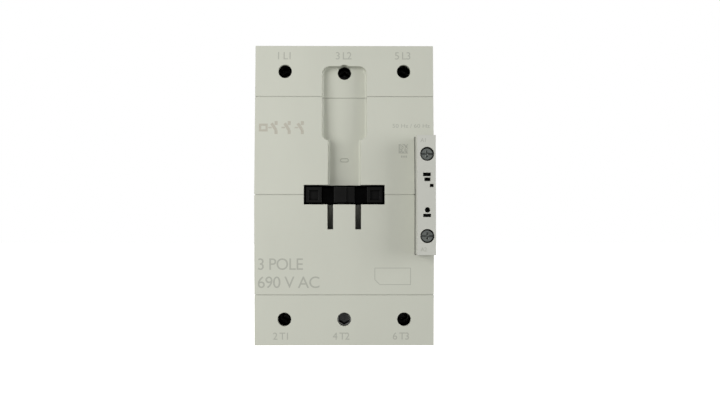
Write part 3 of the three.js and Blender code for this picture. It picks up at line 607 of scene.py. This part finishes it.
def terminal_numbers():
    """The usual numbers of a contactor's terminals, above the line holes and below the load holes."""
    for pole, top, bottom in zip(POLES, ("1 L1", "3 L2", "5 L3"), ("2 T1", "4 T2", "6 T3")):
        line = middle(f"line_clamp_screw_{pole}")
        load = middle(f"load_clamp_screw_{pole}")
        line_x, line_z = line.x - 0.4 * MM, line.z + 7.8 * MM
        load_x, load_z = load.x - 1.5 * MM, load.z - 8.6 * MM
        print_text(f"number_line_{pole}", top, line_x, line_z, 3.9 * MM, spacing=0.87)
        print_text(f"number_load_{pole}", bottom, load_x, load_z, 3.7 * MM, spacing=0.87)
    for side, text, away in (("upper", "A1", 6.6 * MM), ("lower", "A2", -6.6 * MM)):
        screw = middle(f"coil_screw_{side}")
        print_text(f"number_coil_{side}", text, screw.x - 1.75 * MM, screw.z + away, 2.0 * MM, spacing=0.9)


def contact_symbol(x, z):
    """The standard drawing of three make contacts that one coil works, in bold lines."""
    stroke, lead, half_height, swing = 1.5 * MM, 2.0 * MM, 3.3 * MM, 2.3 * MM
    coil_x, coil_width, coil_height = -9.4 * MM, 4.4 * MM, 4.0 * MM
    marks = outline_strips(box_outline(coil_width, coil_height, coil_x, 0), 1.1 * MM)
    for pole in (-3.0 * MM, 3.6 * MM, 10.2 * MM):
        hinge = lead - half_height
        marks.append(line_outline((pole, -half_height), (pole, hinge), stroke))
        marks.append(line_outline((pole, hinge), (pole - swing, hinge + swing * 1.5), stroke))
        marks.append(line_outline((pole, half_height - lead), (pole, half_height), stroke))
        link_end = pole - swing * 0.55
        marks.append(line_outline((link_end - 2.6 * MM, 0), (link_end - 0.9 * MM, 0), 0.7 * MM))
    print_loops("print_contact_symbol", x, z, marks, WARM_INK)


def check_square(x, z, size, cells):
    """A square of small cells, filled at random, with two full sides."""
    draw = random.Random(7)
    cell = size / cells
    middles = [(i + 0.5) * cell - size / 2 for i in range(cells)]
    marks = []
    for i, right in enumerate(middles):
        for j, up in enumerate(middles):
            if i == 0 or j == 0 or draw.random() < 0.5:
                marks.append(box_outline(cell, cell, right, up))
    print_loops("print_check_square", x, z, marks)


def label_field(x, z, width, height, cut, stroke):
    """The outline of the field for a device label, with one corner cut off."""
    right, top = width / 2, height / 2
    corners = [(cut - right, -top), (right, -top), (right, top), (-right, top), (-right, cut - top)]
    print_loops("print_label_field", x, z, outline_strips(corners, stroke))


def cable_ring(x, z):
    """A small oblong ring that stands a little proud of the channel's floor, in darker grey ink as painted
    shade.
    """
    half_length, radius, wire = 1.15 * MM, 0.85 * MM, 0.2 * MM
    steps, sides = 32, 8
    floor = surface_at(x, z)[0].y
    rings = []
    for i in range(steps):
        turn = 2 * math.pi * i / steps
        out = Vector((math.sin(turn), 0, math.cos(turn)))
        across = math.copysign(half_length, out.x) + radius * out.x
        centre = Vector((x + across, floor, z + radius * out.z))
        corners = [2 * math.pi * k / sides for k in range(sides)]
        forward = Vector((0, -1, 0))
        rings.append([tuple(centre + wire * (out * math.cos(a) + forward * math.sin(a))) for a in corners])
    mesh = mended(lofted("channel_ring", rings + rings[:1]), weld=True)
    smooth(mesh, 60)
    # The darker grey ink stands for the ring's shade: painted shade.
    piece("channel_ring", mesh, "housing", "cover_plastic", INK)


def front_print():
    """Generic words and marks where such a device carries its data."""
    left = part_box("lower_front_cover")[0].x + 1.4 * MM
    print_text("data_poles", "3 POLE", left, -35.1 * MM, 6.0 * MM, align="LEFT", spread=0.95, spacing=0.93)
    print_text("data_volts", "690 V AC", left, -44.2 * MM, 6.0 * MM, align="LEFT", spread=1.0, spacing=0.93)
    print_text("data_frequency", "50 Hz / 60 Hz", 33.6 * MM, 34.6 * MM, 2.0 * MM, spread=1.2)
    contact_symbol(-31.3 * MM, 33.8 * MM)
    check_square(29.7 * MM, 23.1 * MM, 4.7 * MM, 12)
    print_loops("print_caption", 30.0 * MM, 19.15 * MM,
                [box_outline(0.55 * MM, 1.0 * MM, offset * MM) for offset in (-1.2, -0.4, 0.4, 1.2)])
    label_field(24.3 * MM, -40.9 * MM, 18.2 * MM, 8.6 * MM, 2.6 * MM, 0.3 * MM)
    cable_ring(0.0, 17.8 * MM)


terminal_numbers()
front_print()

# ---------------------------------------------------------------- laps under the seams of the covers


def seam_lap(name, upper, lower, left, right):
    """The tongue of one cover that closes the gap to the next, a little below the front."""
    top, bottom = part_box(upper)[0].z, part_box(lower)[1].z
    inset, below, thick, step = 0.05 * MM, 0.28 * MM, 1.2 * MM, 0.4 * MM
    rings = []
    x = left
    while x <= right:
        above_seam, below_seam = surface_at(x, top + 0.3 * MM), surface_at(x, bottom - 0.3 * MM)
        front = max(above_seam[0].y, below_seam[0].y) + below
        rings.append([(x, front, bottom + inset), (x, front, top - inset),
                      (x, front + thick, top - inset), (x, front + thick, bottom + inset)])
        x += step
    mesh = mended(lofted(name, rings), fill=True)
    piece(name, mesh, "housing", "cover_plastic")


def seam_laps():
    low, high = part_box("upper_front_cover")
    block_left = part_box("coil_terminal_block")[0].x
    edge, window, clear = 0.6 * MM, 20.4 * MM, 0.6 * MM
    seam_lap("lap_top", "top_terminal_cover", "upper_front_cover", low.x + edge, high.x - edge)
    seam_lap("lap_bottom", "lower_front_cover", "bottom_terminal_cover", low.x + edge, high.x - edge)
    seam_lap("lap_middle_left", "upper_front_cover", "lower_front_cover", low.x + edge, -window)
    seam_lap("lap_middle_right", "upper_front_cover", "lower_front_cover", window, block_left - clear)


seam_laps()

# ---------------------------------------------------------------- pieces that take the place of CAD nodes

EDGE_RADII = {  # in millimetres
    "base_housing": 0.35, "contact_housing": 0.15, "top_terminal_cover": 0.15,
    "upper_front_cover": 0.15, "lower_front_cover": 0.15, "bottom_terminal_cover": 0.15,
    "coil_terminal_block": 0.08, "contact_carrier": 0.25, "rail_latch": 0.3,
    "coil_bobbin": 0.2, "armature": 0.15, "magnet_yoke": 0.15, "coil_winding": 0.3,
    "coil_screw_upper": 0.08, "coil_screw_lower": 0.08,
    "coil_washer_upper": 0.1, "coil_washer_lower": 0.1,
    "coil_terminal_upper": 0.12, "coil_terminal_lower": 0.12,
    "joining_screw_left": 0.15, "joining_screw_right": 0.15,
}
BRIDGE_EDGE_RADIUS = 0.2
POLE_EDGE_RADII = {"contact": 0.2, "arc_chute": 0.06, "clamp_cage": 0.25, "clamp_plate": 0.3}

for node, radius in EDGE_RADII.items():
    mould(node, radius * MM)
for side in SIDES:
    for pole in POLES:
        for kind, radius in POLE_EDGE_RADII.items():
            mould(f"{side}_{kind}_{pole}", radius * MM, in_triangles=kind == "arc_chute")
        clamp_screw(f"{side}_clamp_screw_{pole}")
for pole in POLES:
    mould(f"contact_bridge_{pole}", BRIDGE_EDGE_RADIUS * MM)


for side in ("upper", "lower"):
    node = f"return_spring_{side}"
    coil_spring(node, 7, 0.9 * MM, True)
for pole in POLES:
    node = f"contact_spring_{pole}"
    coil_spring(node, 6, 1.1 * MM, False)
coil_spring("rail_latch_spring", 8, 0.8 * MM, False)


# ---------------------------------------------------------------- floor, light and camera


def floor():
    """A pale floor that stays white in the picture and throws no light up at the device."""
    s = Shader("pale_floor")
    s.link(s.mix(s.spread(s.noise(3, 2), 0, 1), (0.90, 0.90, 0.90), (0.92, 0.92, 0.92)), "Base Color")
    s.set(Roughness=0.9, Emission_Color=(1, 1, 1, 1), Emission_Strength=0.85)
    mesh = bpy.data.meshes.new("floor")
    half, level = 6.0, CAD_BOX[0].z - 0.11
    corners = [(-half, -half, level), (half, -half, level), (half, half, level), (-half, half, level)]
    mesh.from_pydata(corners, [], [(0, 1, 2, 3)])
    mesh.materials.append(s.material)
    obj = bpy.data.objects.new("floor", mesh)
    bpy.context.scene.collection.objects.link(obj)
    obj.visible_diffuse = obj.visible_glossy = False


def area_light(name, place, size, power, color=(1, 1, 1)):
    """A square softbox, in metres and watts, that faces the device."""
    light = bpy.data.lights.new(name, "AREA")
    light.energy, light.size, light.color = power, size, color
    obj = bpy.data.objects.new(name, light)
    bpy.context.scene.collection.objects.link(obj)
    obj.location = place
    obj.rotation_euler = (Vector((0, -0.07, 0)) - Vector(place)).to_track_quat("-Z", "Y").to_euler()
    obj.visible_camera = False


def white_room(strength):
    """A world that looks white, and lights the device from all round with this strength."""
    world = bpy.data.worlds.new("white_studio")
    world.use_nodes = True
    nodes, links = world.node_tree.nodes, world.node_tree.links
    background = nodes["Background"]
    background.inputs["Color"].default_value = (1, 1, 1, 1)
    seen = nodes.new("ShaderNodeLightPath").outputs["Is Camera Ray"]
    level = nodes.new("ShaderNodeMapRange")
    level.inputs["To Min"].default_value = strength
    links.new(seen, level.inputs["Value"])
    links.new(level.outputs["Result"], background.inputs["Strength"])
    bpy.context.scene.world = world


def studio():
    """A small softbox near on the left, a large one further off on the right, and two behind."""
    bpy.context.scene.view_settings.view_transform = "Standard"
    white_room(0.335)
    area_light("left_softbox", (-0.38, -0.56, 0.07), 0.35, 1.98, (1.0, 1.0, 0.985))
    area_light("right_softbox", (1.15, -0.50, 0.065), 1.0, 12.0, (0.99, 0.995, 1.0))
    area_light("rear_left_softbox", (-0.9, 1.0, 0.7), 1.0, 8.0)
    area_light("rear_right_softbox", (0.9, 1.0, 0.5), 1.0, 6.0)


def camera():
    data = bpy.data.cameras.new("camera")
    data.lens, data.sensor_width = 36.6, 36.0
    data.clip_start, data.clip_end = 0.01, 50
    obj = bpy.data.objects.new("camera", data)
    bpy.context.scene.collection.objects.link(obj)
    obj.location = (4.96 * MM, -505.35 * MM, -14.4 * MM)
    pitch, yaw = 1.56, 0.46
    obj.rotation_euler = (math.radians(90 + pitch), 0, math.radians(-yaw))
    bpy.context.scene.camera = obj


floor()
studio()
camera()
